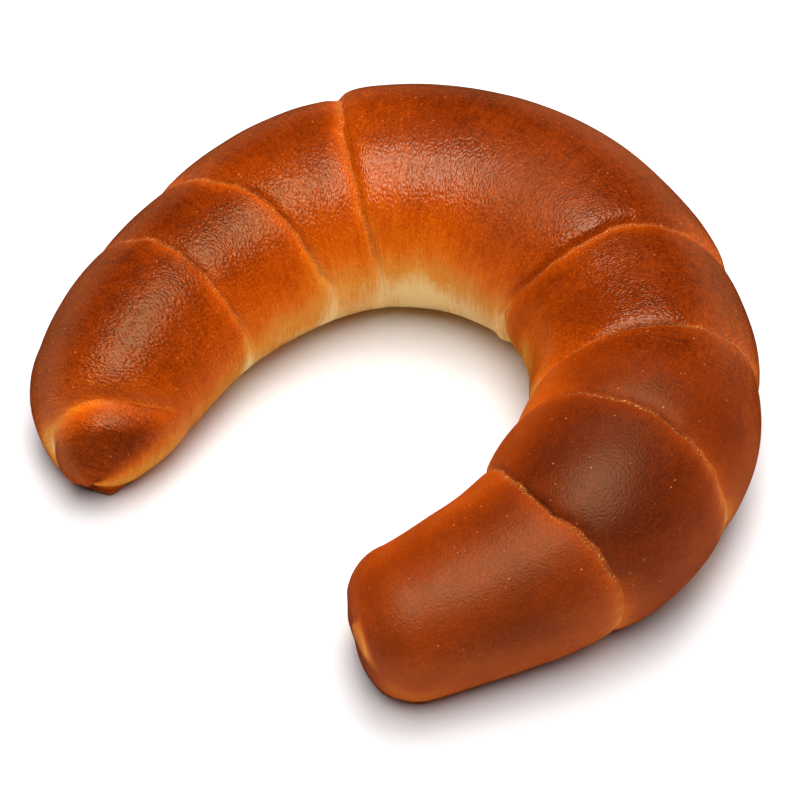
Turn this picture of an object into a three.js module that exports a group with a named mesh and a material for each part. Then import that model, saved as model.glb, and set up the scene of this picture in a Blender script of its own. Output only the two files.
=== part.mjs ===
// A baked crescent roll: one strip of yeast dough rolled up, bent into a horseshoe and baked.
// Nine wraps show along it. The wide middle wrap lies over its neighbours, and each wrap lies over the
// next one toward the tips. Lengths are in millimetres, angles in degrees, +Z is up.
// The back of the bend is at +Y and both arms run toward -Y. The roll rests on its flat underside.

import * as THREE from 'three';

// The centre line: a tight bend at the back that opens into straighter arms, the left one first.
const BACK_RADIUS = 54;
const ARM_RADIUS = [96, 180];
const BEND_END = [72.5, 97];
const BEND_EASE = 15;
const CENTRE_STEP = 0.25;
const CENTRE_REACH = 200;

// The half width of the plain body at places along the centre line, from the left tip to the right.
const GIRTH = [
  [-150, 14.5], [-124, 19.6], [-94, 22], [-69, 24.3], [-18, 25.8],
  [33, 24.1], [59, 25.4], [83, 24.2], [112, 18.8], [140, 15],
];

// The cross-section: its height over its width, and how low its widest place is.
// The underside would reach FLAT_SHARE times as deep as the tray, which leaves a flat to rest on.
const HEIGHT_RATIO = 0.895;
const BELLY_SHARE = 0.43;
const FLAT_SHARE = 1.12;

// The rounded tips, left and right: where they start, their length, how blunt they are, where they end and
// how far their undersides stay flat.
const BODY_END = [132, 128.5];
const CAP_LENGTH = [22, 12];
const CAP_ARC = 1.62;
const CAP_ROUND = [1.15, 0.95];
const CAP_GIRTH_SHARE = 0.3;
const POLE_SIDE = [1.75, -1];
const POLE_HEIGHT = [8.5, 19];
const TIP_BASE = 2;

// The edges of the wraps, from the middle one to each tip: their places along the centre line at five
// angles round the body, 0 at the inner side, 90 at the top and 180 at the outer side.
// The last edge on the left curls round the tip, so it has all eight angles.
const EDGES = [
  [
    [-54.5, -58.3, -57.6, -55.2, -55.5],
    [-74.5, -79.2, -84, -90.3, -95],
    [-105.5, -106, -106, -108.5, -111],
    [-135, -142.5, -146.5, -150.5, -153.5, -157, -154, -143],
  ],
  [
    [3.6, 11.6, 14.8, 19, 24],
    [55.5, 49.4, 43.9, 42.3, 44],
    [76, 69.8, 67.2, 67.6, 68.2],
    [96, 97, 97.3, 92.5, 91.8],
  ],
];
const UNDERSIDE_SHARES = [0.1464, 0.5, 0.8536];

// The relief: each wrap is a low pillow, its edge toward the tip is a lip, and a crease runs past the edge.
const MIDDLE_BULGE = 1.2;
const BULGE = [[1, 0.9, 1.3], [2, 1.4, 1.6, 1.2]];
const MIDDLE_RISE = 3;
const RISE = 7;
const FALL = 5;
const NUB_FALL = 7;
const LAST_WRAP_REACH = 30;
const LIP = [[1.2, 0.5, 0.25, 0], [1, 0.2, 0.1, 0.2]];
const LIP_ROUND = 1.4;
const MIDDLE_LIP_REACH = 14;
const LIP_REACH = 12;
const CREASE_DEPTH = [[0.35, 0.4, 0.35, 1.1], [0.5, 0.35, 0.35, 0.4]];
const CREASE_WIDTH = [[1.2, 1, 1, 2.4], [1.3, 1.1, 1.1, 1.1]];
const CREASE_SHIFT = 0.3;

// The left tip shows the core of the roll as a nub that rises past a wide valley. The valley closes on the
// inner side: the middle and the half length of its open arc in degrees, and the length of its ends.
const NUB_RISE = 2.2;
const NUB_RAMP = 7;
const NUB_VALLEY = { middle: 120, half: 115, ease: 45 };

// On the left arm the seams fade out low on the inner side: the angle where they're gone, and how far
// above it they are whole.
const FAINT_SEAMS = { gone: -25, length: 45 };

// The strip's last edge is a fold low across the right tip's end: its height at the centre line, how that
// rises toward the inner side, the place where it starts and the side offset where it ends.
const FOLD = { height: 13, slope: 0.3, start: 140, ramp: 4, end: -7, fade: 4, depth: 3, width: 3 };

// Dough spread on the tray: a foot out from the left tip's end, and a lip along the right tip's outer side.
const SPREAD_HEIGHT = 0.5;
const SPREAD_THICKNESS = 1.3;
const FOOT = { reach: 3.4, side: 7, halfWidth: 11, start: 142, ramp: 8 };
const BASE_LIP = { reach: 2.4, start: 112, ramp: 14, inset: 7 };

// The relief fades out on the underside, from this sine of the angle over this much of it.
const FADE_START = -0.85;
const FADE_SPAN = 0.45;

// The mesh: columns round the body, and rows that follow the wraps' edges, closest beside them.
const COLUMNS = 36;
const OVER_ROWS = [0.3, 1.2, 3];
const UNDER_ROWS = [0.5, 2, 5];
const ROW_GAP = 3.6;
const TIP_ROW_GAP = 2;
const SLOPE_STEP = 0.01;

const CRUST_COLOUR = 0xa4501c;
const LEFT = 0;
const RIGHT = 1;

const clamp01 = (x) => Math.min(Math.max(x, 0), 1);
const mix = (a, b, t) => a + (b - a) * t;

function smooth(x) {
  const t = clamp01(x);
  return t * t * (3 - 2 * t);
}

// The slopes of a smooth curve through [place, value] pairs of uneven spacing.
function slopesThrough(pairs) {
  const slope = (i) => (pairs[i + 1][1] - pairs[i][1]) / (pairs[i + 1][0] - pairs[i][0]);
  const last = pairs.length - 1;
  return pairs.map(([place], i) => {
    if (i === 0) return slope(0);
    if (i === last) return slope(last - 1);
    const before = place - pairs[i - 1][0];
    const after = pairs[i + 1][0] - place;
    return (slope(i - 1) * after + slope(i) * before) / (before + after);
  });
}

const girthSlopes = slopesThrough(GIRTH);

function halfWidthAt(place) {
  const last = GIRTH.length - 1;
  const at = Math.min(Math.max(place, GIRTH[0][0]), GIRTH[last][0]);
  let i = 0;
  while (i < last - 1 && at > GIRTH[i + 1][0]) i += 1;
  const span = GIRTH[i + 1][0] - GIRTH[i][0];
  const t = (at - GIRTH[i][0]) / span;
  const startShare = (1 + 2 * t) * (1 - t) ** 2;
  const slopes = t * (1 - t) ** 2 * girthSlopes[i] - t * t * (1 - t) * girthSlopes[i + 1];
  return startShare * GIRTH[i][1] + (1 - startShare) * GIRTH[i + 1][1] + span * slopes;
}

// One half of the centre line, as points a small step apart: [x, y, turn], with x away from the middle.
function halfCentreLine(side) {
  const points = [[0, 0, 0]];
  const curvature = (place) => {
    const opened = smooth((place - BEND_END[side] + BEND_EASE) / (2 * BEND_EASE));
    return mix(1 / BACK_RADIUS, 1 / ARM_RADIUS[side], opened);
  };
  for (let place = 0; place < CENTRE_REACH; place += CENTRE_STEP) {
    const [x, y, turn] = points[points.length - 1];
    const bend = curvature(place + CENTRE_STEP / 2) * CENTRE_STEP;
    const heading = turn + bend / 2;
    points.push([x + Math.cos(heading) * CENTRE_STEP, y - Math.sin(heading) * CENTRE_STEP, turn + bend]);
  }
  return points;
}

const centreLines = [halfCentreLine(LEFT), halfCentreLine(RIGHT)];

function centreAt(place) {
  const line = centreLines[place < 0 ? LEFT : RIGHT];
  const steps = Math.abs(place) / CENTRE_STEP;
  const i = Math.min(Math.floor(steps), line.length - 2);
  const [x, y, turn] = line[i].map((value, axis) => mix(value, line[i + 1][axis], steps - i));
  return place < 0 ? { x: -x, y, heading: turn } : { x, y, heading: -turn };
}

// The place of a wrap's edge at an angle in radians: a smooth closed curve through its knots.
function edgeAt(knots, angle) {
  const [first, last] = [knots[0], knots[4]];
  const ring = knots.length === 8 ? knots : [...knots, ...UNDERSIDE_SHARES.map((w) => mix(last, first, w))];
  const turns = angle / (2 * Math.PI);
  const steps = (turns - Math.floor(turns)) * 8;
  const i = Math.floor(steps);
  const f = steps - i;
  const [a, b, c, d] = [7, 0, 1, 2].map((offset) => ring[(i + offset) % 8]);
  return b + 0.5 * f * (c - a + f * (2 * a - 5 * b + 4 * c - d + f * (3 * b - a - 3 * c + d)));
}

// How far the dough spread on the tray pushes a point out past the tip, and out to its side.
function spreadAt(side, place, lateral, z) {
  const low = Math.exp(-(((z - SPREAD_HEIGHT) / SPREAD_THICKNESS) ** 2));
  if (side === LEFT) {
    const across = smooth((FOOT.halfWidth - Math.abs(lateral - FOOT.side)) / FOOT.halfWidth);
    return { past: FOOT.reach * low * across * smooth((-place - FOOT.start) / FOOT.ramp), aside: 0 };
  }
  const outside = smooth(-lateral / BASE_LIP.inset) * smooth((place - BASE_LIP.start) / BASE_LIP.ramp);
  return { past: 0, aside: -BASE_LIP.reach * low * outside };
}

// A point of the plain body and how far it lies to the inner side. The place runs along the centre line
// and on over the rounded tips.
function bodyPoint(place, angle) {
  const side = place < 0 ? LEFT : RIGHT;
  const sign = side === LEFT ? -1 : 1;
  const capShare = (Math.abs(place) - BODY_END[side]) / (CAP_LENGTH[side] * CAP_ARC);
  const capTurn = clamp01(capShare) * Math.PI / 2;
  const reach = Math.min(Math.abs(place), BODY_END[side]);
  const cap = CAP_LENGTH[side] * Math.sin(capTurn);
  const spread = Math.cos(capTurn) ** CAP_ROUND[side];
  const halfWidth = halfWidthAt(sign * (reach + cap * CAP_GIRTH_SHARE));
  const height = 2 * halfWidth * HEIGHT_RATIO;
  const belly = height * BELLY_SHARE;
  const up = Math.sin(angle);
  const top = belly + (height - belly) * up;
  const bottom = Math.max(belly + belly * FLAT_SHARE * up, 0);
  const lift = POLE_HEIGHT[side] * (1 - spread) ** (1 + TIP_BASE * Math.min(up, 0) ** 2);
  const z = (up >= 0 ? top : bottom) * spread + lift;
  const lateral = mix(POLE_SIDE[side], halfWidth * Math.cos(angle), spread);
  const { x, y, heading } = centreAt(sign * (reach + cap));
  const { past: push, aside } = spreadAt(side, place, lateral, z);
  const point = new THREE.Vector3(
    x + Math.sin(heading) * (lateral + aside) + Math.cos(heading) * sign * push,
    y - Math.cos(heading) * (lateral + aside) + Math.sin(heading) * sign * push,
    z,
  );
  return { point, lateral };
}

const rise = (distance, length) => 1 - Math.exp(-Math.max(distance, 0) / length);
const lip = (distance, reach) => Math.exp(-distance / reach) * rise(distance, LIP_ROUND);

// How open the valley beside the nub is at an angle, from 0 to 1.
function valleyAt(angle) {
  const away = Math.abs((THREE.MathUtils.radToDeg(angle) - NUB_VALLEY.middle + 540) % 360 - 180);
  return smooth((NUB_VALLEY.half - away) / NUB_VALLEY.ease);
}

// How much of the left arm's seams shows at an angle, from 0 to 1.
function seamShareAt(angle) {
  const degrees = THREE.MathUtils.radToDeg(angle);
  const fromInner = degrees > 270 ? degrees - 360 : degrees;
  return smooth((fromInner - FAINT_SEAMS.gone) / FAINT_SEAMS.length);
}

function foldAt(place, lateral, z) {
  const across = (z - FOLD.height - FOLD.slope * lateral) / FOLD.width;
  const shown = smooth((place - FOLD.start) / FOLD.ramp) * smooth((lateral - FOLD.end) / FOLD.fade);
  return FOLD.depth * Math.exp(-(across ** 2)) * shown;
}

// The height of the crust over the plain body.
function reliefAt(place, angle, lateral, z) {
  const edges = EDGES.map((side) => side.map((knots) => edgeAt(knots, angle)));
  const side = place < 0 ? LEFT : RIGHT;
  const sign = side === LEFT ? -1 : 1;
  const past = edges[side].map((edge) => sign * (place - edge));
  const wrap = past.filter((distance) => distance > 0).length - 1;
  const valley = valleyAt(angle);
  const isNubEdge = (k) => side === LEFT && k === EDGES[LEFT].length - 1;
  const crease = past.reduce((sum, d, k) => {
    const across = (d - CREASE_SHIFT) / CREASE_WIDTH[side][k];
    return sum + CREASE_DEPTH[side][k] * Math.exp(-(across ** 2)) * (isNubEdge(k) ? valley : 1);
  }, 0);
  let height;
  if (wrap < 0) {
    const toLeft = place - edges[LEFT][0];
    const toRight = edges[RIGHT][0] - place;
    height = MIDDLE_BULGE * rise(toLeft, MIDDLE_RISE) * rise(toRight, MIDDLE_RISE);
    height += LIP[LEFT][0] * lip(toLeft, MIDDLE_LIP_REACH) + LIP[RIGHT][0] * lip(toRight, MIDDLE_LIP_REACH);
  } else if (isNubEdge(wrap)) {
    height = mix(BULGE[side][wrap - 1], NUB_RISE * smooth(past[wrap] / NUB_RAMP), valley);
  } else {
    const toNext = wrap < 3 ? -past[wrap + 1] : LAST_WRAP_REACH;
    const fallen = isNubEdge(wrap + 1) ? mix(1, rise(toNext, NUB_FALL), valley) : rise(toNext, FALL);
    height = BULGE[side][wrap] * rise(past[wrap], RISE) * fallen;
    height += wrap < 3 ? LIP[side][wrap + 1] * lip(toNext, LIP_REACH) : 0;
  }
  const wraps = side === LEFT ? mix(MIDDLE_BULGE, height - crease, seamShareAt(angle)) : height - crease;
  return wraps - foldAt(place, lateral, z);
}

function crustPoint(place, angle) {
  const { point, lateral } = bodyPoint(place, angle);
  const between = (from, to) => bodyPoint(...to).point.sub(bodyPoint(...from).point);
  const along = between([place - SLOPE_STEP, angle], [place + SLOPE_STEP, angle]);
  const round = between([place, angle - SLOPE_STEP], [place, angle + SLOPE_STEP]);
  const normal = along.cross(round).normalize();
  const free = smooth((Math.sin(angle) - FADE_START) / FADE_SPAN);
  point.addScaledVector(normal, reliefAt(place, angle, lateral, point.z) * free);
  point.z = Math.max(point.z, 0);
  return point;
}

// Rows between two guides, each a function of the angle: close to the guides, then evenly between.
function rowsBetween(start, end, startRows, endRows, gap = ROW_GAP) {
  const nearStart = startRows.map((offset) => (angle) => start(angle) + offset);
  const nearEnd = endRows.map((offset) => (angle) => end(angle) - offset).reverse();
  const from = nearStart.length ? nearStart[nearStart.length - 1] : start;
  const to = nearEnd.length ? nearEnd[0] : end;
  const count = Math.max(Math.round((to(Math.PI / 2) - from(Math.PI / 2)) / gap), 2);
  const between = [];
  for (let i = 1; i < count; i += 1) between.push((angle) => mix(from(angle), to(angle), i / count));
  return [...nearStart, ...between, ...nearEnd];
}

function allRows() {
  const tips = [LEFT, RIGHT].map((side) => BODY_END[side] + CAP_LENGTH[side] * CAP_ARC);
  const edge = (knots) => (angle) => edgeAt(knots, angle);
  const guides = [...EDGES[LEFT]].reverse().concat(EDGES[RIGHT]).map(edge);
  const middle = EDGES[LEFT].length;
  const rows = rowsBetween(() => -tips[LEFT], guides[0], [], UNDER_ROWS, TIP_ROW_GAP);
  for (let i = 0; i < guides.length - 1; i += 1) {
    const startRows = i < middle ? OVER_ROWS : UNDER_ROWS;
    const endRows = i + 1 < middle ? UNDER_ROWS : OVER_ROWS;
    rows.push(...rowsBetween(guides[i], guides[i + 1], startRows, endRows));
  }
  rows.push(...rowsBetween(guides[guides.length - 1], () => tips[RIGHT], UNDER_ROWS, [], TIP_ROW_GAP));
  return { rows, tips };
}

function crescentRoll() {
  const { rows, tips } = allRows();
  const points = [crustPoint(-tips[LEFT] + SLOPE_STEP, 0)];
  for (const row of rows) {
    for (let i = 0; i < COLUMNS; i += 1) {
      const angle = (i / COLUMNS) * 2 * Math.PI;
      points.push(crustPoint(row(angle), angle));
    }
  }
  points.push(crustPoint(tips[RIGHT] - SLOPE_STEP, 0));

  const faces = [];
  const corner = (row, column) => 1 + row * COLUMNS + (column % COLUMNS);
  for (let i = 0; i < COLUMNS; i += 1) {
    faces.push(0, corner(0, i), corner(0, i + 1));
    for (let row = 0; row < rows.length - 1; row += 1) {
      faces.push(corner(row, i), corner(row + 1, i), corner(row + 1, i + 1));
      faces.push(corner(row, i), corner(row + 1, i + 1), corner(row, i + 1));
    }
    faces.push(corner(rows.length - 1, i), points.length - 1, corner(rows.length - 1, i + 1));
  }

  const geometry = new THREE.BufferGeometry();
  geometry.setAttribute('position', new THREE.Float32BufferAttribute(points.flatMap((p) => p.toArray()), 3));
  geometry.setIndex(faces);
  geometry.computeVertexNormals();
  return geometry;
}

// The finished roll, moved so that the middle of its box's underside is the origin.
const crust = new THREE.MeshStandardMaterial({ color: CRUST_COLOUR, roughness: 0.45, metalness: 0 });
const roll = new THREE.Mesh(crescentRoll(), crust);
roll.name = 'crescent_roll';
roll.geometry.computeBoundingBox();
const centre = roll.geometry.boundingBox.getCenter(new THREE.Vector3());
roll.position.set(-centre.x, -centre.y, -roll.geometry.boundingBox.min.z);

const part = new THREE.Group();
part.add(roll);

export default part;
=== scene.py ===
"""A glazed crescent roll on a white table, seen from above its open side.

The crust is one fine mesh over the same body as the solid: a plain horseshoe body, wraps that overlap
from the middle toward both tips, and their creases. Lengths in the shape functions are in millimetres.
"""

import bpy
import numpy as np
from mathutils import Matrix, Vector


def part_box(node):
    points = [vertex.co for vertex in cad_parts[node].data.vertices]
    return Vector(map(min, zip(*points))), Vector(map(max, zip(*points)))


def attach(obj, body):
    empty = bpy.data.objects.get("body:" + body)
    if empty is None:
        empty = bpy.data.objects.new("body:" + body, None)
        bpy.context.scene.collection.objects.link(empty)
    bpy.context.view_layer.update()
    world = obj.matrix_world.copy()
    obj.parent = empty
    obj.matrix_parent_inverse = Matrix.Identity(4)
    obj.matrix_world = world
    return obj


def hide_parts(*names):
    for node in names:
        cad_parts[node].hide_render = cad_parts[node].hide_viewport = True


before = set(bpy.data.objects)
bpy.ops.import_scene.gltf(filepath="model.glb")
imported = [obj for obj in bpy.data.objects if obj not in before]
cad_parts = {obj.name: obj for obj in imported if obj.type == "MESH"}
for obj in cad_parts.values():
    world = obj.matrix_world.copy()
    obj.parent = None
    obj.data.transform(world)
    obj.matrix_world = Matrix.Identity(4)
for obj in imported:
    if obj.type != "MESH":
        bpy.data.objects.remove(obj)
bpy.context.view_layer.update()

MM = 0.001
NODE = "crescent_roll"
LEFT, RIGHT = 0, 1

# The centre line: a tight bend at the back that opens into straighter arms, the left one first.
BACK_RADIUS = 54
ARM_RADIUS = [96, 180]
BEND_END = [72.5, 97]
BEND_EASE = 15
CENTRE_STEP = 0.25
CENTRE_REACH = 200

# The half width of the plain body at places along the centre line.
GIRTH = [
    [-150, 14.5], [-124, 19.6], [-94, 22], [-69, 24.3], [-18, 25.8],
    [33, 24.1], [59, 25.4], [83, 24.2], [112, 18.8], [140, 15],
]
HEIGHT_RATIO = 0.895
BELLY_SHARE = 0.43
FLAT_SHARE = 1.12

# The rounded tips.
BODY_END = [132, 128.5]
CAP_LENGTH = [22, 12]
CAP_ARC = 1.62
CAP_ROUND = [1.15, 0.95]
CAP_GIRTH_SHARE = 0.3
POLE_SIDE = [1.75, -1]
POLE_HEIGHT = [8.5, 19]
TIP_BASE = 2

# The wraps' edges, from the middle to each tip, at 0, 45, 90, 135 and 180 degrees round the body:
# 0 is the inner side, 90 the top. The last edge on the left has all eight angles.
EDGES = [
    [
        [-54.5, -58.3, -57.6, -55.2, -55.5],
        [-74.5, -79.2, -84, -90.3, -95],
        [-105.5, -106, -106, -108.5, -111],
        [-135, -142.5, -146.5, -150.5, -153.5, -157, -154, -143],
    ],
    [
        [3.6, 11.6, 14.8, 19, 24],
        [55.5, 49.4, 43.9, 42.3, 44],
        [76, 69.8, 67.2, 67.6, 68.2],
        [96, 97, 97.3, 92.5, 91.8],
    ],
]
UNDERSIDE_SHARES = [0.1464, 0.5, 0.8536]

# The relief of the wraps.
MIDDLE_BULGE = 1.2
BULGE = [[1, 0.9, 1.3], [2, 1.4, 1.6, 1.2]]
MIDDLE_RISE = 3
RISE = 7
FALL = 5
NUB_FALL = 7
LAST_WRAP_REACH = 30
LIP = [[1.2, 0.5, 0.25, 0], [1, 0.2, 0.1, 0.2]]
LIP_ROUND = 1.4
MIDDLE_LIP_REACH = 14
LIP_REACH = 12
CREASE_DEPTH = [[0.35, 0.4, 0.35, 1.1], [0.5, 0.35, 0.35, 0.4]]
CREASE_WIDTH = [[1.2, 1, 1, 2.4], [1.3, 1.1, 1.1, 1.1]]
CREASE_SHIFT = 0.3
NUB_RISE = 2.2
NUB_RAMP = 7
NUB_VALLEY = dict(middle=120, half=115, ease=45)
FAINT_SEAMS = dict(gone=-25, length=45)
FOLD = dict(height=13, slope=0.3, start=140, ramp=4, end=-7, fade=4, depth=3, width=3)
SPREAD_HEIGHT = 0.5
SPREAD_THICKNESS = 1.3
FOOT = dict(reach=3.4, side=7, half_width=11, start=142, ramp=8)
BASE_LIP = dict(reach=2.4, start=112, ramp=14, inset=7)
FADE_START = -0.85
FADE_SPAN = 0.45

# What only the fine mesh has: ragged edges, a sharp crack in each crease, and lumps in the crust.
RAGGED = [[0.22, 0.26, 0.22, 0.0], [0.24, 0.2, 0.2, 0.2]]
RAGGED_WAVES = [(5, 1.0), (9, 0.8), (17, 0.6), (31, 0.5), (53, 0.35)]
RAGGED_SHIFT = 1.7
CRACK_WIDTH = 0.3
ARC_EASE = 1.6
# The size and the height of the lumps, and the grid of random values that they come from.
LUMPS = [(11.0, 0.22), (4.5, 0.07)]
LUMP_GRID = 64
LUMP_ORIGIN = 500
# Columns round the body, by arcs in degrees: they lie closest near the tray.
COLUMN_ARCS = [(-65, -12, 24), (-12, 192, 78), (192, 245, 24), (245, 295, 14)]
COLUMNS = sum(count for start, end, count in COLUMN_ARCS)
EDGE_ROWS = [0.12, 0.3, 0.5, 0.75, 1.1, 1.5, 2, 2.5, 3]
ROW_GAP = 0.5

# The cracks that show in each crease: the middle and the half length of each in degrees round the body,
# its depth in millimetres and how dark it is.
CRACKS = [
    [
        [(60, 25, 0.08, 0.3), (35, 20, 0.04, 0.15)],
        [(88, 30, 0.2, 0.6), (45, 20, 0.05, 0.2)],
        [(80, 28, 0.15, 0.5), (140, 20, 0.1, 0.3)],
        [],
    ],
    [
        [(-10, 22, 0.2, 0.8), (112, 22, 0.15, 0.45)],
        [(88, 24, 0.2, 0.85), (130, 16, 0.15, 0.5)],
        [(40, 26, 0.15, 0.6), (113, 13, 0.25, 0.9)],
        [(92, 20, 0.45, 1.0), (150, 15, 0.1, 0.4)],
    ],
]
SLOPE_STEP = 0.01
TINY = 1e-12

# The photograph's view: azimuth and elevation in degrees, distance and the point looked at.
VIEW_AZIMUTH = 45.8
VIEW_ELEVATION = 53
VIEW_DISTANCE = 700
VIEW_TARGET = (2.7, -59.0, 20)
VIEW_LENS = 140.2
SENSOR_WIDTH = 36
CLIP_START = 0.01

# The table and the lights, in metres.
TABLE_SIZE = 2.2
LIGHT_TARGET = (0, 0, 0.02)
OVERHEAD = dict(azimuth=VIEW_AZIMUTH, elevation=80, distance=1.3, size=1.0, radiance=6.4, mirrored=True)
FILL = dict(azimuth=VIEW_AZIMUTH + 170, elevation=65, distance=1.3, size=0.8, radiance=8.6, mirrored=False)


def smooth(x):
    t = np.clip(x, 0, 1)
    return t * t * (3 - 2 * t)


def mix(a, b, t):
    return a + (b - a) * t


def through(pairs, x):
    """A smooth curve through [place, value] pairs of uneven spacing."""
    places, values = np.array(pairs, float).T
    steps = np.diff(places)
    slope = np.diff(values) / steps
    inner = (slope[:-1] * steps[1:] + slope[1:] * steps[:-1]) / (steps[:-1] + steps[1:])
    slopes = np.concatenate([slope[:1], inner, slope[-1:]])
    x = np.clip(x, places[0], places[-1])
    i = np.clip(np.searchsorted(places, x, side="right") - 1, 0, len(places) - 2)
    t = (x - places[i]) / steps[i]
    start = (1 + 2 * t) * (1 - t) ** 2
    bend = t * (1 - t) ** 2 * slopes[i] - t * t * (1 - t) * slopes[i + 1]
    return start * values[i] + (1 - start) * values[i + 1] + steps[i] * bend


def half_centre_line(side):
    """Places along one half of the centre line, with x, y and the turn there."""
    places = np.arange(0, CENTRE_REACH, CENTRE_STEP)
    opened = smooth((places + CENTRE_STEP / 2 - BEND_END[side] + BEND_EASE) / (2 * BEND_EASE))
    bend = mix(1 / BACK_RADIUS, 1 / ARM_RADIUS[side], opened) * CENTRE_STEP
    turn = np.concatenate([[0], np.cumsum(bend)])
    heading = turn[:-1] + bend / 2
    x = np.concatenate([[0], np.cumsum(np.cos(heading))]) * CENTRE_STEP
    y = np.concatenate([[0], -np.cumsum(np.sin(heading))]) * CENTRE_STEP
    return np.arange(len(turn)) * CENTRE_STEP, x, y, turn


CENTRE_LINES = [half_centre_line(LEFT), half_centre_line(RIGHT)]


def centre_at(place):
    """x, y and heading of the centre line at places along it."""
    halves = []
    for side in (LEFT, RIGHT):
        steps, x, y, turn = CENTRE_LINES[side]
        halves.append([np.interp(np.abs(place), steps, values) for values in (x, y, turn)])
    left = place < 0
    x = np.where(left, -halves[LEFT][0], halves[RIGHT][0])
    y = np.where(left, halves[LEFT][1], halves[RIGHT][1])
    heading = np.where(left, halves[LEFT][2], -halves[RIGHT][2])
    return x, y, heading


def edge_at(knots, angle):
    """The place of a wrap's edge at angles in radians: a smooth closed curve through its knots."""
    ring = list(knots)
    if len(ring) == 5:
        ring += [mix(knots[4], knots[0], share) for share in UNDERSIDE_SHARES]
    ring = np.array(ring, float)
    steps = np.mod(angle, 2 * np.pi) / (np.pi / 4)
    i = np.floor(steps).astype(int)
    f = steps - i
    a, b, c, d = [ring[(i + offset) % 8] for offset in (7, 0, 1, 2)]
    return b + 0.5 * f * (c - a + f * (2 * a - 5 * b + 4 * c - d + f * (3 * b - a - 3 * c + d)))


def degrees_round(angle):
    """Degrees round the body for angles in radians, from -90 to 270."""
    return np.mod(np.degrees(angle) + 90, 360) - 90


def degrees_from(angle, middle):
    """How many degrees an angle in radians lies from the middle of an arc."""
    return np.abs(np.mod(np.degrees(angle) - middle + 180, 360) - 180)


def ragged(angle, seed):
    """A small wander of a wrap's torn edge."""
    return sum(size * np.sin(count * (angle + RAGGED_SHIFT * seed)) for count, size in RAGGED_WAVES)


def torn_edge(side, number, angle):
    sign = 1 if side == RIGHT else -1
    wander = RAGGED[side][number] * ragged(angle, sign * (number + 1))
    return edge_at(EDGES[side][number], angle) + wander


def spread_at(place, lateral, z):
    """How far the dough spread on the tray pushes a point out past the tip, and out to its side."""
    low = np.exp(-(((z - SPREAD_HEIGHT) / SPREAD_THICKNESS) ** 2))
    across = smooth((FOOT["half_width"] - np.abs(lateral - FOOT["side"])) / FOOT["half_width"])
    foot = FOOT["reach"] * low * across * smooth((-place - FOOT["start"]) / FOOT["ramp"])
    outside = smooth(-lateral / BASE_LIP["inset"])
    aside = -BASE_LIP["reach"] * low * outside * smooth((place - BASE_LIP["start"]) / BASE_LIP["ramp"])
    return foot, aside


def body_point(place, angle):
    """Points of the plain body, and where they lie across it."""
    side = np.where(place < 0, LEFT, RIGHT)
    sign = np.where(place < 0, -1, 1)
    body_end, cap_length = np.array(BODY_END)[side], np.array(CAP_LENGTH)[side]
    cap_turn = np.clip((np.abs(place) - body_end) / (cap_length * CAP_ARC), 0, 1) * np.pi / 2
    reach = np.minimum(np.abs(place), body_end)
    cap = cap_length * np.sin(cap_turn)
    spread = np.maximum(np.cos(cap_turn), 0) ** np.array(CAP_ROUND)[side]
    half_width = through(GIRTH, sign * (reach + cap * CAP_GIRTH_SHARE))
    height = 2 * half_width * HEIGHT_RATIO
    belly = height * BELLY_SHARE
    up = np.sin(angle)
    below = np.maximum(belly + belly * FLAT_SHARE * up, 0)
    section = np.where(up >= 0, belly + (height - belly) * up, below)
    lift = np.array(POLE_HEIGHT)[side] * (1 - spread) ** (1 + TIP_BASE * np.minimum(up, 0) ** 2)
    z = section * spread + lift
    lateral = mix(np.array(POLE_SIDE)[side], half_width * np.cos(angle), spread)
    x, y, heading = centre_at(sign * (reach + cap))
    push, aside = spread_at(place, lateral, z)
    x = x + np.sin(heading) * (lateral + aside) + np.cos(heading) * sign * push
    y = y - np.cos(heading) * (lateral + aside) + np.sin(heading) * sign * push
    return np.stack([x, y, z], -1), lateral, z, cap_turn


def rise(distance, length):
    return 1 - np.exp(-np.maximum(distance, 0) / length)


def lip(distance, reach):
    return np.exp(-np.maximum(distance, 0) / reach) * rise(distance, LIP_ROUND)


def by_edge(table, place):
    """The table's values for the four edges of the side that each point lies on."""
    left, right = np.array(table, float)
    return np.where(place[None, :] < 0, left[:, None], right[:, None])


def past_edges(place, angle):
    """How far points lie past each edge toward the tip of their side, and the number of their wrap."""
    sides = []
    for side in (LEFT, RIGHT):
        sign = 1 if side == RIGHT else -1
        sides.append(np.stack([sign * (place - torn_edge(side, k, angle)) for k in range(4)]))
    past = np.where(place < 0, sides[LEFT], sides[RIGHT])
    return past, (past > 0).sum(axis=0) - 1


def by_angle(angle, arcs):
    """The strongest value at each angle of arcs given as (middle, half length, value) in degrees."""
    value = np.zeros_like(angle)
    for middle, half, strength in arcs:
        away = degrees_from(angle, middle)
        value = np.maximum(value, strength * smooth((half - away) / half * ARC_EASE))
    return value


def crack_at(place, angle, past):
    """The depth and the darkness of the cracks at each point."""
    depth, dark = np.zeros_like(place), np.zeros_like(place)
    for side in (LEFT, RIGHT):
        here = (place < 0) == (side == LEFT)
        for k in range(4):
            across = np.exp(-(((past[k] - CREASE_SHIFT) / CRACK_WIDTH) ** 2)) * here
            arcs = CRACKS[side][k]
            depth += across * by_angle(angle, [(middle, half, deep) for middle, half, deep, _ in arcs])
            dark += across * by_angle(angle, [(middle, half, tint) for middle, half, _, tint in arcs])
    return depth, dark


def valley_at(angle):
    """How open the valley beside the nub is, from 0 to 1."""
    away = degrees_from(angle, NUB_VALLEY["middle"])
    return smooth((NUB_VALLEY["half"] - away) / NUB_VALLEY["ease"])


def seam_share_at(angle):
    """How much of the left arm's seams shows, from 0 to 1."""
    return smooth((degrees_round(angle) - FAINT_SEAMS["gone"]) / FAINT_SEAMS["length"])


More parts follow.
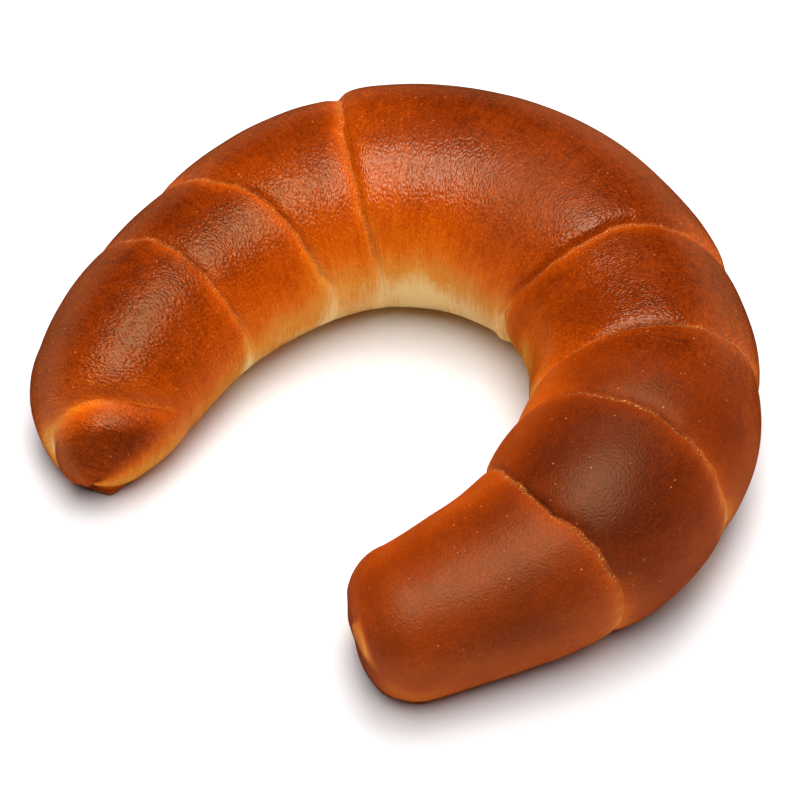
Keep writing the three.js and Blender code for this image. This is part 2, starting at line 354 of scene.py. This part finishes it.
def fold_at(place, lateral, z):
    """How deep in the right tip's fold each point is, from 0 to 1."""
    across = (z - FOLD["height"] - FOLD["slope"] * lateral) / FOLD["width"]
    shown = smooth((place - FOLD["start"]) / FOLD["ramp"]) * smooth((lateral - FOLD["end"]) / FOLD["fade"])
    return np.exp(-(across ** 2)) * shown


def relief(place, angle, lateral, z):
    """The height of the crust over the plain body."""
    past, wrap = past_edges(place, angle)
    valley = valley_at(angle)
    to_left = place - torn_edge(LEFT, 0, angle)
    to_right = torn_edge(RIGHT, 0, angle) - place
    height = MIDDLE_BULGE * rise(to_left, MIDDLE_RISE) * rise(to_right, MIDDLE_RISE)
    height += LIP[LEFT][0] * lip(to_left, MIDDLE_LIP_REACH)
    height += LIP[RIGHT][0] * lip(to_right, MIDDLE_LIP_REACH)
    for side in (LEFT, RIGHT):
        here = (place < 0) == (side == LEFT)
        for k in range(4):
            if side == LEFT and k == 3:
                pillow = mix(BULGE[side][k - 1], NUB_RISE * smooth(past[k] / NUB_RAMP), valley)
            else:
                to_next = -past[k + 1] if k < 3 else np.full_like(place, LAST_WRAP_REACH)
                fallen = rise(to_next, FALL)
                if side == LEFT and k == 2:
                    fallen = mix(1, rise(to_next, NUB_FALL), valley)
                pillow = BULGE[side][k] * rise(past[k], RISE) * fallen
                if k < 3:
                    pillow += LIP[side][k + 1] * lip(to_next, LIP_REACH)
            height = np.where(here & (wrap == k), pillow, height)
    depth, width = by_edge(CREASE_DEPTH, place), by_edge(CREASE_WIDTH, place)
    depth[3] *= np.where(place < 0, valley, 1)
    height = height - (depth * np.exp(-(((past - CREASE_SHIFT) / width) ** 2))).sum(axis=0)
    height = height - crack_at(place, angle, past)[0]
    height = np.where(place < 0, mix(MIDDLE_BULGE, height, seam_share_at(angle)), height)
    return height - FOLD["depth"] * fold_at(place, lateral, z)


def lumpiness(points, size, seed):
    """Smooth noise from -1 to 1, with features of about the given size."""
    draw = np.random.default_rng(seed)
    lattice = draw.uniform(-1, 1, (LUMP_GRID, LUMP_GRID, LUMP_GRID))
    cell = points / size
    low = np.floor(cell).astype(int)
    f = smooth(cell - low)
    total = 0
    for corner in np.ndindex(2, 2, 2):
        weight = np.prod([f[..., k] if corner[k] else 1 - f[..., k] for k in range(3)], axis=0)
        index = [(low[..., k] + corner[k]) % LUMP_GRID for k in range(3)]
        total = total + weight * lattice[index[0], index[1], index[2]]
    return total


def rows_between(start, end, start_rows, end_rows):
    """Rows between two guides: close beside them, then evenly between."""
    near_start = [lambda angle, gap=gap: start(angle) + gap for gap in start_rows]
    near_end = [lambda angle, gap=gap: end(angle) - gap for gap in reversed(end_rows)]
    first = near_start[-1] if near_start else start
    last = near_end[0] if near_end else end
    top = np.array([np.pi / 2])
    count = int(max(round((last(top)[0] - first(top)[0]) / ROW_GAP), 2))
    between = [
        lambda angle, t=i / count: mix(first(angle), last(angle), t)
        for i in range(1, count)
    ]
    return near_start + between + near_end


def crust_grid():
    """The places and angles of the grid that covers the roll, and its two ends."""
    tips = [BODY_END[side] + CAP_LENGTH[side] * CAP_ARC for side in (LEFT, RIGHT)]
    numbers = [(LEFT, k) for k in (3, 2, 1, 0)] + [(RIGHT, k) for k in range(4)]
    guides = [lambda angle, side=side, k=k: torn_edge(side, k, angle) for side, k in numbers]
    rows = rows_between(lambda angle: np.full_like(angle, -tips[LEFT]), guides[0], [], EDGE_ROWS)
    for start, end in zip(guides, guides[1:]):
        rows += rows_between(start, end, EDGE_ROWS, EDGE_ROWS)
    rows += rows_between(guides[-1], lambda angle: np.full_like(angle, tips[RIGHT]), EDGE_ROWS, [])
    arcs = [np.linspace(start, end, count, endpoint=False) for start, end, count in COLUMN_ARCS]
    angles = np.mod(np.radians(np.concatenate(arcs)), 2 * np.pi)
    places = np.stack([row(angles) for row in rows])
    ends = np.array([-tips[LEFT] + SLOPE_STEP, tips[RIGHT] - SLOPE_STEP])
    place = np.concatenate([ends[:1], places.ravel(), ends[1:]])
    angle = np.concatenate([[0], np.broadcast_to(angles, places.shape).ravel(), [0]])
    return place, angle, len(rows)


def crust_faces(row_count):
    """Quads of the grid, and a fan of triangles at each end."""
    corner = 1 + np.arange(row_count)[:, None] * COLUMNS + np.arange(COLUMNS)[None, :]
    beside = np.roll(corner, -1, axis=1)
    quads = np.stack([corner[:-1], corner[1:], beside[1:], beside[:-1]], -1).reshape(-1, 4).tolist()
    last = 1 + row_count * COLUMNS
    start = [[0, int(a), int(b)] for a, b in zip(corner[0], beside[0])]
    end = [[int(a), last, int(b)] for a, b in zip(corner[-1], beside[-1])]
    return quads + start + end


def bump_free(angle):
    """1 where the crust is free, 0 where it lies on the tray."""
    return smooth((np.sin(angle) - FADE_START) / FADE_SPAN)


# How far the glaze is worn on the over and the under wrap's side of an edge, and beside the nub.
WORN_REACH = dict(over=0.9, under=2.2, nub=5)
# The crumbs of a torn edge show from this angle up, as far as the middle of the outer side.
CRUMB_START = 18
# What a point without a torn edge near it has for its distance past one.
NO_EDGE = 99
# How brown the crust is round the body, from 0, cream, to 1, dark: degrees from the inner side.
BROWNING = [
    [-90, 0.62], [-62, 0.5], [-48, 0.14], [-32, 0], [-15, 0], [0, 0.1], [15, 0.28], [30, 0.45],
    [45, 0.59], [60, 0.72], [75, 0.84], [90, 0.86], [120, 0.86], [135, 0.8], [150, 0.66], [165, 0.52],
    [180, 0.44], [200, 0.42], [220, 0.5], [245, 0.58], [270, 0.62],
]
# The crown's value among these.
CROWN = 0.86
# For the middle wrap and then each wrap toward the tip: how much of the inner side's paleness it keeps,
# and how brown its crown is.
PALENESS = [[1.0, 0.82, 0.86, 0.8, 0.7], [1.0, 0.85, 1.0, 1.0, 0.65]]
CROWNS = [[0.86, 0.77, 0.86, 0.89, 0.8], [0.86, 0.86, 0.89, 0.96, 0.8]]
# The middle wrap bakes paler toward its left edge.
MIDDLE_FADE = dict(start=-24, length=30, amount=0.15)
# Beside each edge, at the inner side, the top and the outer side: how much paler the under wrap starts,
# and how much paler the over wrap ends.
UNDER_PALE = [
    [(0.05, 0.34, 0.26), (0.12, 0.34, 0.36), (0.18, 0.28, 0.3), (0.24, 0.66, 0.46)],
    [(0.14, 0.3, 0.34), (0.14, 0.14, 0.26), (0.1, 0.16, 0.42), (0.08, 0.06, 0.26)],
]
OVER_PALE = [
    # On the middle wrap's left edge the top value also paints light: it lifts the shade on the slope of the
    # lip there.
    [(0.08, 0.26, 0.12), (0.05, 0.1, 0.12), (0.12, 0.14, 0.14), (0.3, 0.5, 0.56)],
    [(0.12, 0.18, 0.16), (0.25, 0.1, 0.16), (0.12, 0.08, 0.18), (0.16, 0.06, 0.16)],
]
# How far these reach from the edge, and how far both reach in the valley beside the nub.
UNDER_REACH = 3
UNDER_POWER = 1.5
OVER_REACH = 2.0
NUB_VALLEY_REACH = 4.8
# Broad areas that baked darker or paler than their wrap: the middle and the half length of each along the
# centre line, its middle and half width in degrees, and how much browner it is.
BAKED_AREAS = [
    (24, 50, 38, 36, 0.14), (12, 14, 2, 26, 0.12), (106, 40, 148, 42, 0.13), (112, 22, 88, 40, 0.06),
    (-126, 30, 32, 32, 0.09), (-40, 42, 2, 30, -0.07), (134, 30, 195, 28, -0.12),
]
# The strip's end shows as a paler lobe on the right tip's end: where it starts along the centre line and
# how that shifts with each degree, its arc and the arc's ramps in degrees, and its paler rim.
LOBE = dict(
    place=142.6, slant=0.05, ramp=3, start=94, end=190, start_ramp=14, end_ramp=30, pale=0.34,
    rim=0.16, rim_width=0.9, fade=0.12,
)
# The right tip's end bakes evenly brown: from this turn of its cap on, in radians.
TIP_BROWN = dict(start=0.55, ramp=0.75, value=0.63)
# Low on the right tip, a brown rim touches the tray under a paler line: heights in millimetres.
BAKED_RIM = dict(start=112, ramp=16, brown=0.4, thickness=1.3, pale=0.14, line_height=3.6, line_width=1.6)
# Duller stretches of the glaze: the middle and the half length of each, and how dull it is.
DULL_STRETCHES = [(-6, 25, 0.95), (-124, 26, 0.25)]
# The crust is painted paler and tan along the crown's outer shoulder, as far as the right arm: partly the
# crust's own tan side, partly a painted sheen of the pale haze that grazing light leaves there.
TAN_AND_HAZE = dict(start=104, end=178, ramp=30, share=0.14, last=62, fade=26)
# The grain of the glaze ends on the right arm, and its sheen is on the middle wraps only.
GRAIN = dict(end=62, fade=16)
SHEEN = dict(start=-78, rise=25, end=56, fade=12)
# What faces up and what lies on the tray, by the sine of the angle. The latter stays below a height.
UPWARD = dict(start=-0.1, span=0.7)
UNDER = dict(start=0.86, span=0.06, height=2.4)
# The nub on the left tip: brown where it faces up, paler toward the tray, by height in millimetres.
NUB_BROWN = [[0, 0.56], [5, 0.46], [12, 0.64], [19, 0.84], [24, 0.96], [40, 0.96]]


def beside(angle, values):
    """A value between those given for the inner side, the top and the outer side."""
    inner, top, outer = values
    return np.interp(np.degrees(angle), [0, 90, 180, 270, 360], [inner, top, outer, outer, inner])


def area_share(place, middle, half):
    """1 in the middle of a stretch, falling to 0 at its ends."""
    return smooth(1 - np.abs(place - middle) / half)


def browning(place, angle, z, cap_turn, past, wrap):
    """How baked the crust is at each point."""
    degrees = degrees_round(angle)
    round_body = through(BROWNING, degrees)
    faded = MIDDLE_FADE["amount"] * smooth((MIDDLE_FADE["start"] - place) / MIDDLE_FADE["length"])
    brown = np.zeros_like(place)
    for side in (LEFT, RIGHT):
        here = (place < 0) == (side == LEFT)
        for k in range(-1, 4):
            nub = side == LEFT and k == 3
            like = k if nub else k + 1
            value = CROWNS[side][like] + (round_body - CROWN) * PALENESS[side][like]
            if k == -1:
                value = value - faded * round_body
            if nub:
                value = mix(value, through(NUB_BROWN, z), valley_at(angle))
            brown = np.where(here & (wrap == k), value, brown)
    brown = brown - seam_paleness(place, angle, past)
    for middle, half, middle_angle, half_width, amount in BAKED_AREAS:
        share = area_share(place, middle, half) * area_share(degrees, middle_angle, half_width)
        brown = brown + amount * share
    at_end = smooth((cap_turn - TIP_BROWN["start"]) / TIP_BROWN["ramp"]) * (place > 0)
    brown = mix(brown, TIP_BROWN["value"], at_end)
    brown = brown - lobe_paleness(place, degrees, cap_turn) + rim_browning(place, angle, z)
    return np.clip(brown, 0, 1)


def seam_paleness(place, angle, past):
    """How much paler the crust is beside the edges."""
    pale = np.zeros_like(place)
    for side in (LEFT, RIGHT):
        here = (place < 0) == (side == LEFT)
        for k in range(4):
            nub = side == LEFT and k == 3
            into_under = np.maximum(past[k], 0) / (NUB_VALLEY_REACH if nub else UNDER_REACH)
            into_over = np.maximum(-past[k], 0) / (NUB_VALLEY_REACH if nub else OVER_REACH)
            under = beside(angle, UNDER_PALE[side][k]) * np.exp(-(into_under ** UNDER_POWER))
            over = beside(angle, OVER_PALE[side][k]) * np.exp(-into_over)
            shown = valley_at(angle) if nub else 1
            pale = pale + here * shown * np.where(past[k] > 0, under, over)
    return pale


def lobe_paleness(place, degrees, cap_turn):
    """How much paler the crust is on the strip's end at the right tip."""
    beyond = place - LOBE["place"]
    from_start = degrees - LOBE["start"]
    arc = smooth(from_start / LOBE["start_ramp"]) * smooth((LOBE["end"] - degrees) / LOBE["end_ramp"])
    lobe = smooth((beyond + LOBE["slant"] * from_start) / LOBE["ramp"])
    rim = np.exp(-((beyond / LOBE["rim_width"]) ** 2))
    before_end = smooth((np.pi / 2 - cap_turn) / LOBE["fade"])
    return arc * before_end * (LOBE["pale"] * lobe + LOBE["rim"] * rim)


def rim_browning(place, angle, z):
    """How much browner the crust is low on the right tip."""
    shown = smooth((place - BAKED_RIM["start"]) / BAKED_RIM["ramp"]) * bump_free(angle)
    rim = np.exp(-((z / BAKED_RIM["thickness"]) ** 2))
    line = np.exp(-(((z - BAKED_RIM["line_height"]) / BAKED_RIM["line_width"]) ** 2))
    return shown * (BAKED_RIM["brown"] * rim - BAKED_RIM["pale"] * line)


def worn_at(place, past):
    """How worn the glaze is at each point, from 0 to 1."""
    reach = np.where(past > 0, WORN_REACH["under"], WORN_REACH["over"])
    reach[3] = np.where(place < 0, WORN_REACH["nub"], reach[3])
    worn = np.exp(-np.abs(past) / reach).max(axis=0)
    for middle, half, dull in DULL_STRETCHES:
        worn = np.maximum(worn, dull * area_share(place, middle, half))
    return worn


def tan_and_haze_at(place, angle):
    """How tan the crust is at each point, with a painted sheen of grazing haze, from 0 to 1."""
    degrees = degrees_round(angle)
    band = smooth((degrees - TAN_AND_HAZE["start"]) / TAN_AND_HAZE["ramp"]) * smooth((TAN_AND_HAZE["end"] - degrees) / TAN_AND_HAZE["ramp"])
    return TAN_AND_HAZE["share"] * band * smooth((TAN_AND_HAZE["last"] - place) / TAN_AND_HAZE["fade"])


def past_torn_edge(place, angle, past):
    """How far each point lies past the nearest torn edge whose crumbs show there."""
    upper = np.mod(np.degrees(angle) + 180, 360) - 180 >= CRUMB_START
    torn = np.where((by_edge(RAGGED, place) > 0) & upper, past, -1)
    return np.where(torn > 0, torn, NO_EDGE).min(axis=0)


def sheen_at(place):
    """How glossy the glaze is along the roll, from 0 to 1."""
    rising = smooth((place - SHEEN["start"]) / SHEEN["rise"])
    return rising * smooth((SHEEN["end"] - place) / SHEEN["fade"])


def under_at(angle, z):
    """1 where the crust lies on the tray, 0 elsewhere."""
    low = smooth((UNDER["height"] - z) / UNDER["height"] * 2)
    return low * smooth((-np.sin(angle) - UNDER["start"]) / UNDER["span"])


def build_crust():
    """The fine mesh of the whole roll, with what its material needs to know at each point."""
    place, angle, row_count = crust_grid()
    points, lateral, z, cap_turn = body_point(place, angle)
    along = body_point(place + SLOPE_STEP, angle)[0] - body_point(place - SLOPE_STEP, angle)[0]
    around = body_point(place, angle + SLOPE_STEP)[0] - body_point(place, angle - SLOPE_STEP)[0]
    normal = np.cross(along, around)
    normal /= np.maximum(np.linalg.norm(normal, axis=-1, keepdims=True), TINY)
    straight = np.stack([place, lateral, z], -1)
    height = relief(place, angle, lateral, z)
    for number, (size, amount) in enumerate(LUMPS):
        height = height + amount * lumpiness(straight + LUMP_ORIGIN, size, number + 1)
    points = points + normal * (height * bump_free(angle))[:, None]
    points[:, 2] = np.maximum(points[:, 2], 0)

    low, high = [np.array(corner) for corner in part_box(NODE)]
    centre = (points.max(axis=0) + points.min(axis=0)) / 2
    offset = np.array([*((low + high) / 2 / MM - centre)[:2], low[2] / MM])
    mesh = bpy.data.meshes.new("crust_skin")
    mesh.from_pydata(((points + offset) * MM).tolist(), [], crust_faces(row_count))
    mesh.polygons.foreach_set("use_smooth", [True] * len(mesh.polygons))

    past, wrap = past_edges(place, angle)
    set_attribute(mesh, "straight", straight)
    set_attribute(mesh, "brown", browning(place, angle, z, cap_turn, past, wrap))
    set_attribute(mesh, "crack", crack_at(place, angle, past)[1])
    set_attribute(mesh, "past", past_torn_edge(place, angle, past))
    set_attribute(mesh, "grain", smooth((GRAIN["end"] - place) / GRAIN["fade"]))
    set_attribute(mesh, "worn", worn_at(place, past))
    set_attribute(mesh, "sheen", sheen_at(place))
    set_attribute(mesh, "upward", smooth((np.sin(angle) - UPWARD["start"]) / UPWARD["span"]))
    # The tan crust and the painted sheen of grazing haze on the crown's outer shoulder.
    set_attribute(mesh, "tan_and_haze", tan_and_haze_at(place, angle))
    set_attribute(mesh, "under", under_at(angle, points[:, 2]))
    mesh.update()
    skin = bpy.data.objects.new("crust_skin", mesh)
    bpy.context.scene.collection.objects.link(skin)
    return skin, offset


def set_attribute(mesh, name, values):
    values = np.asarray(values, np.float32)
    kind, key = ("FLOAT_VECTOR", "vector") if values.ndim == 2 else ("FLOAT", "value")
    attribute = mesh.attributes.new(name, kind, "POINT")
    attribute.data.foreach_set(key, values.ravel())


class Nodes:
    """Short calls for a material's nodes."""

    def __init__(self, name):
        self.material = bpy.data.materials.new(name)
        self.material.use_nodes = True
        self.tree = self.material.node_tree
        self.tree.nodes.clear()

    def add(self, kind, inputs=None, **settings):
        node = self.tree.nodes.new(kind)
        for key, value in settings.items():
            setattr(node, key, value)
        for key, value in (inputs or {}).items():
            self.feed(node.inputs[key], value)
        return node

    def feed(self, socket, value):
        if isinstance(value, bpy.types.NodeSocket):
            self.tree.links.new(value, socket)
        else:
            socket.default_value = value

    def attribute(self, name, output="Fac"):
        return self.add("ShaderNodeAttribute", attribute_name=name).outputs[output]

    def math(self, operation, first, second=0.0, clamp=False):
        node = self.add("ShaderNodeMath", {0: first, 1: second}, operation=operation, use_clamp=clamp)
        return node.outputs[0]

    def scaled(self, vector, factors):
        node = self.add("ShaderNodeVectorMath", {0: vector, 1: factors}, operation="MULTIPLY")
        return node.outputs[0]

    def noise(self, vector, scale, detail, roughness=0.5):
        inputs = {"Vector": vector, "Scale": scale, "Detail": detail, "Roughness": roughness}
        return self.add("ShaderNodeTexNoise", inputs).outputs["Fac"]

    def swing(self, vector, scale, detail, roughness, amount):
        """A noise that swings from -amount to amount."""
        value = self.noise(vector, scale, detail, roughness)
        return self.ranged(value, *NOISE_MIDDLE, -amount, amount)

    def ranged(self, value, low, high, new_low=0.0, new_high=1.0):
        inputs = {"Value": value, "From Min": low, "From Max": high, "To Min": new_low, "To Max": new_high}
        node = self.add("ShaderNodeMapRange", inputs, interpolation_type="SMOOTHSTEP")
        return node.outputs["Result"]

    def blend(self, factor, first, second):
        node = self.add("ShaderNodeMix", data_type="RGBA")
        self.feed(node.inputs["Factor"], factor)
        self.feed([s for s in node.inputs if s.name == "A" and s.type == "RGBA"][0], first)
        self.feed([s for s in node.inputs if s.name == "B" and s.type == "RGBA"][0], second)
        return [s for s in node.outputs if s.type == "RGBA"][0]

    def ramp(self, factor, stops):
        node = self.add("ShaderNodeValToRGB", {"Fac": factor})
        elements = node.color_ramp.elements
        elements[0].position, elements[0].color = stops[0]
        elements[1].position, elements[1].color = stops[-1]
        for position, colour in stops[1:-1]:
            element = elements.new(position)
            element.color = colour
        return node.outputs["Color"]


def srgb(red, green, blue):
    """A colour given as screen values from 0 to 255."""
    linear = []
    for value in (red, green, blue):
        v = value / 255
        linear.append(v / 12.92 if v <= 0.04045 else ((v + 0.055) / 1.055) ** 2.4)
    return (*linear, 1.0)


# The colours of the crust by how brown it is.
CRUST_COLOURS = [
    (0.0, srgb(255, 222, 150)), (0.16, srgb(240, 158, 58)), (0.34, srgb(222, 106, 12)),
    (0.5, srgb(186, 74, 4)), (0.74, srgb(134, 47, 3)), (0.87, srgb(112, 37, 3)), (1.0, srgb(83, 24, 4)),
]
TAN_AND_HAZE_COLOUR = srgb(204, 132, 84)
CRUMB_COLOUR = srgb(244, 158, 82)
CRACK_COLOUR = srgb(70, 22, 6)
SPECK_COLOUR = srgb(222, 140, 84)
UNDER_COLOURS = [srgb(166, 96, 48), srgb(130, 66, 28)]
TABLE_COLOUR = srgb(224, 224, 224)
TABLE_ROUGHNESS = 0.9
# Noises that make the browning uneven: features for each millimetre, and how far each swings it.
NOISE_MIDDLE = (0.3, 0.7)
PATCHES = dict(scale=0.055, detail=3.0, roughness=0.55, amount=0.05)
MOTTLE = dict(scale=0.5, detail=4.0, roughness=0.7, amount=0.05)
FRECKLES = dict(scale=1.9, detail=1.0, roughness=0.6, amount=0.075)
STREAKS = dict(scale=1.0, detail=3.0, roughness=0.6, amount=0.03)
STREAK_STRETCH = (1.3, 0.12, 0.12)
# The share of mottle and freckles on the duller arm and elsewhere, and on pale crust. The latter rises to
# all of them between two values of how brown it is.
SPECKLED_BY_GRAIN = (0.5, 0.9)
SPECKLED_ON_PALE = 0.3
SPECKLED_FROM = (0.2, 0.8)
# Crumbs lie beside a torn edge, within a distance of it, where the noise is high. Cracks break up with it.
CRUMBLE = dict(scale=2.2, detail=3.0, roughness=0.7)
CRUMBS = dict(none=1.5, full=0.3, low=0.45, high=0.6, share=0.6, height=1.5)
CRACK_BREAKS = dict(low=0.35, high=0.55, least=0.4)
# Specks lie in random cells: each cell's draw gives its speck's size, and none to a low draw.
SPECKS = dict(scale=0.7, draw=0.5, growth=0.3, edge=0.03, least_draw=0.56, share=0.45)
FLOUR = dict(scale=0.3, detail=4.0, roughness=0.7)
FLOUR_SPAN = (0.35, 0.65)
# Wrinkles under the glaze run across the roll, and on the duller arm they are even and lower.
WRINKLE_STRETCH = (2.4, 1.3, 1.3)
EVEN_WRINKLES = dict(scale=2.0, share=0.4)
BUMP_HEIGHT = 0.00018
ROUGHNESS = dict(dull=0.47, glazed=0.22, worn=0.3)
COAT = dict(pale=0.2, brown=0.6, on_pale=0.1, least=0.03, most=0.36)
FIXED_INPUTS = {
    "IOR": 1.45,
    "Specular IOR Level": 0.44,
    "Specular Tint": (1.0, 0.74, 0.36, 1.0),
    "Coat Roughness": 0.2,
    "Coat IOR": 1.45,
    "Subsurface Weight": 0.06,
    "Subsurface Radius": (1.0, 0.35, 0.12),
    "Subsurface Scale": 0.0015,
}


def uneven_tone(n, straight, grain):
    """How brown the crust is, with patches, mottle, freckles and streaks."""
    brown = n.attribute("brown")
    tone = n.math("ADD", brown, n.swing(straight, **PATCHES))
    by_brown = n.ranged(brown, *SPECKLED_FROM, SPECKLED_ON_PALE)
    speckled = n.math("ADD", n.swing(straight, **MOTTLE), n.swing(straight, **FRECKLES))
    speckled = n.math("MULTIPLY", speckled, n.ranged(grain, 0.0, 1.0, *SPECKLED_BY_GRAIN))
    tone = n.math("ADD", tone, n.math("MULTIPLY", speckled, by_brown))
    streaks = n.swing(n.scaled(straight, STREAK_STRETCH), **STREAKS)
    return n.math("ADD", tone, n.math("MULTIPLY", streaks, grain))


def crumbs_and_cracks(n, straight):
    """Where crumbs lie beside the torn edges, and how dark the cracks are."""
    crumble = n.noise(straight, **CRUMBLE)
    near = n.ranged(n.attribute("past"), CRUMBS["none"], CRUMBS["full"])
    crumbs = n.math("MULTIPLY", near, n.ranged(crumble, CRUMBS["low"], CRUMBS["high"]), clamp=True)
    unbroken = n.ranged(crumble, CRACK_BREAKS["low"], CRACK_BREAKS["high"], CRACK_BREAKS["least"])
    return crumbs, n.math("MULTIPLY", n.attribute("crack"), unbroken, clamp=True)


def pale_specks(n, straight):
    """Small pale specks, each of its own size."""
    cells = n.add("ShaderNodeTexVoronoi", {"Vector": straight, "Scale": SPECKS["scale"], "Randomness": 1.0})
    draw = n.add("ShaderNodeSeparateColor", {0: cells.outputs["Color"]}).outputs[0]
    size = n.math("MULTIPLY", n.math("SUBTRACT", draw, SPECKS["draw"], clamp=True), SPECKS["growth"])
    beyond = n.math("SUBTRACT", cells.outputs["Distance"], size)
    speck = n.ranged(beyond, SPECKS["edge"], -SPECKS["edge"])
    return n.math("MULTIPLY", speck, n.math("GREATER_THAN", draw, SPECKS["least_draw"]))


def crust_colour(n, straight, tone, crumbs, crack, under):
    """The crust's colour, with all that lies on it."""
    colour = n.ramp(tone, CRUST_COLOURS)
    # Tan crust, and a painted sheen of grazing haze, on the crown's outer shoulder.
    colour = n.blend(n.attribute("tan_and_haze"), colour, TAN_AND_HAZE_COLOUR)
    colour = n.blend(n.math("MULTIPLY", crumbs, CRUMBS["share"]), colour, CRUMB_COLOUR)
    colour = n.blend(crack, colour, CRACK_COLOUR)
    colour = n.blend(n.math("MULTIPLY", pale_specks(n, straight), SPECKS["share"]), colour, SPECK_COLOUR)
    floury = n.ranged(n.noise(straight, **FLOUR), *FLOUR_SPAN)
    return n.blend(under, colour, n.blend(floury, *UNDER_COLOURS))


def wrinkled_normal(n, straight, grain, crumbs):
    """The bumps of the fine wrinkles and of the crumbs."""
    across = n.noise(n.scaled(straight, WRINKLE_STRETCH), 1.0, 0.0)
    even = n.math("MULTIPLY", n.noise(straight, EVEN_WRINKLES["scale"], 0.0), EVEN_WRINKLES["share"])
    wrinkles = n.add("ShaderNodeMix", {"Factor": grain, "A": even, "B": across}).outputs[0]
    height = n.math("ADD", wrinkles, n.math("MULTIPLY", crumbs, CRUMBS["height"]))
    bump = n.add("ShaderNodeBump", {"Height": height, "Distance": BUMP_HEIGHT, "Strength": 1.0})
    return bump.outputs["Normal"]


def crust_material():
    """Egg-washed crust: browning, pale torn edges, fine wrinkles and a broken gloss."""
    n = Nodes("baked_crust")
    straight = n.attribute("straight", "Vector")
    grain = n.attribute("grain")
    under = n.attribute("under")
    worn = n.attribute("worn")
    tone = uneven_tone(n, straight, grain)
    crumbs, crack = crumbs_and_cracks(n, straight)
    normal = wrinkled_normal(n, straight, grain, crumbs)

    roughness = n.ranged(grain, 0.0, 1.0, ROUGHNESS["dull"], ROUGHNESS["glazed"])
    for wear in (worn, crumbs):
        roughness = n.math("ADD", roughness, n.math("MULTIPLY", wear, ROUGHNESS["worn"]), clamp=True)
    coat = n.ranged(tone, COAT["pale"], COAT["brown"], COAT["on_pale"], 1.0)
    coat = n.math("MULTIPLY", coat, n.attribute("upward"))
    coat = n.math("MULTIPLY", coat, n.ranged(n.attribute("sheen"), 0.0, 1.0, COAT["least"], COAT["most"]))
    coat = n.math("MULTIPLY", coat, n.math("SUBTRACT", 1.0, n.math("MAXIMUM", worn, under)))
    shader = n.add("ShaderNodeBsdfPrincipled", {
        "Base Color": crust_colour(n, straight, tone, crumbs, crack, under),
        "Roughness": roughness,
        "Coat Weight": coat,
        "Normal": normal,
        "Coat Normal": normal,
    })
    for name, value in FIXED_INPUTS.items():
        shader.inputs[name].default_value = value
    n.add("ShaderNodeOutputMaterial", {"Surface": shader.outputs[0]})
    return n.material


def table_material():
    n = Nodes("white_table")
    inputs = {"Base Color": TABLE_COLOUR, "Roughness": TABLE_ROUGHNESS}
    shader = n.add("ShaderNodeBsdfPrincipled", inputs)
    n.add("ShaderNodeOutputMaterial", {"Surface": shader.outputs[0]})
    return n.material


def add_table():
    mesh = bpy.data.meshes.new("table_top")
    half = TABLE_SIZE / 2
    corners = [(x * half, y * half, 0) for x, y in ((-1, -1), (1, -1), (1, 1), (-1, 1))]
    mesh.from_pydata(corners, [], [(0, 1, 2, 3)])
    mesh.materials.append(table_material())
    table = bpy.data.objects.new("table_top", mesh)
    bpy.context.scene.collection.objects.link(table)
    table.visible_glossy = False


def toward(azimuth, elevation):
    """The direction in which a camera or light stands, from its azimuth and elevation in degrees."""
    a, e = np.radians(azimuth), np.radians(elevation)
    return Vector((np.sin(a) * np.cos(e), -np.cos(a) * np.cos(e), np.sin(e)))


def aim(thing, target):
    thing.rotation_euler = (target - thing.location).to_track_quat("-Z", "Y").to_euler()


def add_camera(offset):
    data = bpy.data.cameras.new("camera")
    data.lens = VIEW_LENS
    data.sensor_width = SENSOR_WIDTH
    data.sensor_fit = "HORIZONTAL"
    data.clip_start = CLIP_START
    camera = bpy.data.objects.new("camera", data)
    target = Vector(np.array(VIEW_TARGET) + offset) * MM
    camera.location = target + toward(VIEW_AZIMUTH, VIEW_ELEVATION) * VIEW_DISTANCE * MM
    aim(camera, target)
    bpy.context.scene.collection.objects.link(camera)
    bpy.context.scene.camera = camera


def add_softbox(name, azimuth, elevation, distance, size, radiance, mirrored):
    """A square light panel; one that isn't mirrored only fills, and shows in no reflection."""
    data = bpy.data.lights.new(name, "AREA")
    data.shape = "SQUARE"
    data.size = size
    data.energy = np.pi * radiance * size * size
    light = bpy.data.objects.new(name, data)
    light.location = toward(azimuth, elevation) * distance
    light.visible_glossy = mirrored
    aim(light, Vector(LIGHT_TARGET))
    bpy.context.scene.collection.objects.link(light)


def add_lights():
    add_softbox("overhead_softbox", **OVERHEAD)
    add_softbox("fill_behind", **FILL)
    world = bpy.data.worlds.new("white_room")
    world.use_nodes = True
    background = world.node_tree.nodes["Background"]
    background.inputs["Color"].default_value = (1.0, 1.0, 1.0, 1.0)
    background.inputs["Strength"].default_value = 1.0
    world.cycles_visibility.diffuse = False
    world.cycles_visibility.glossy = False
    bpy.context.scene.world = world


crust, row_offset = build_crust()
crust.data.materials.append(crust_material())
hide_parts(NODE)
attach(crust, "root")

add_table()
add_camera(row_offset)
add_lights()
bpy.context.scene.view_settings.view_transform = "Standard"
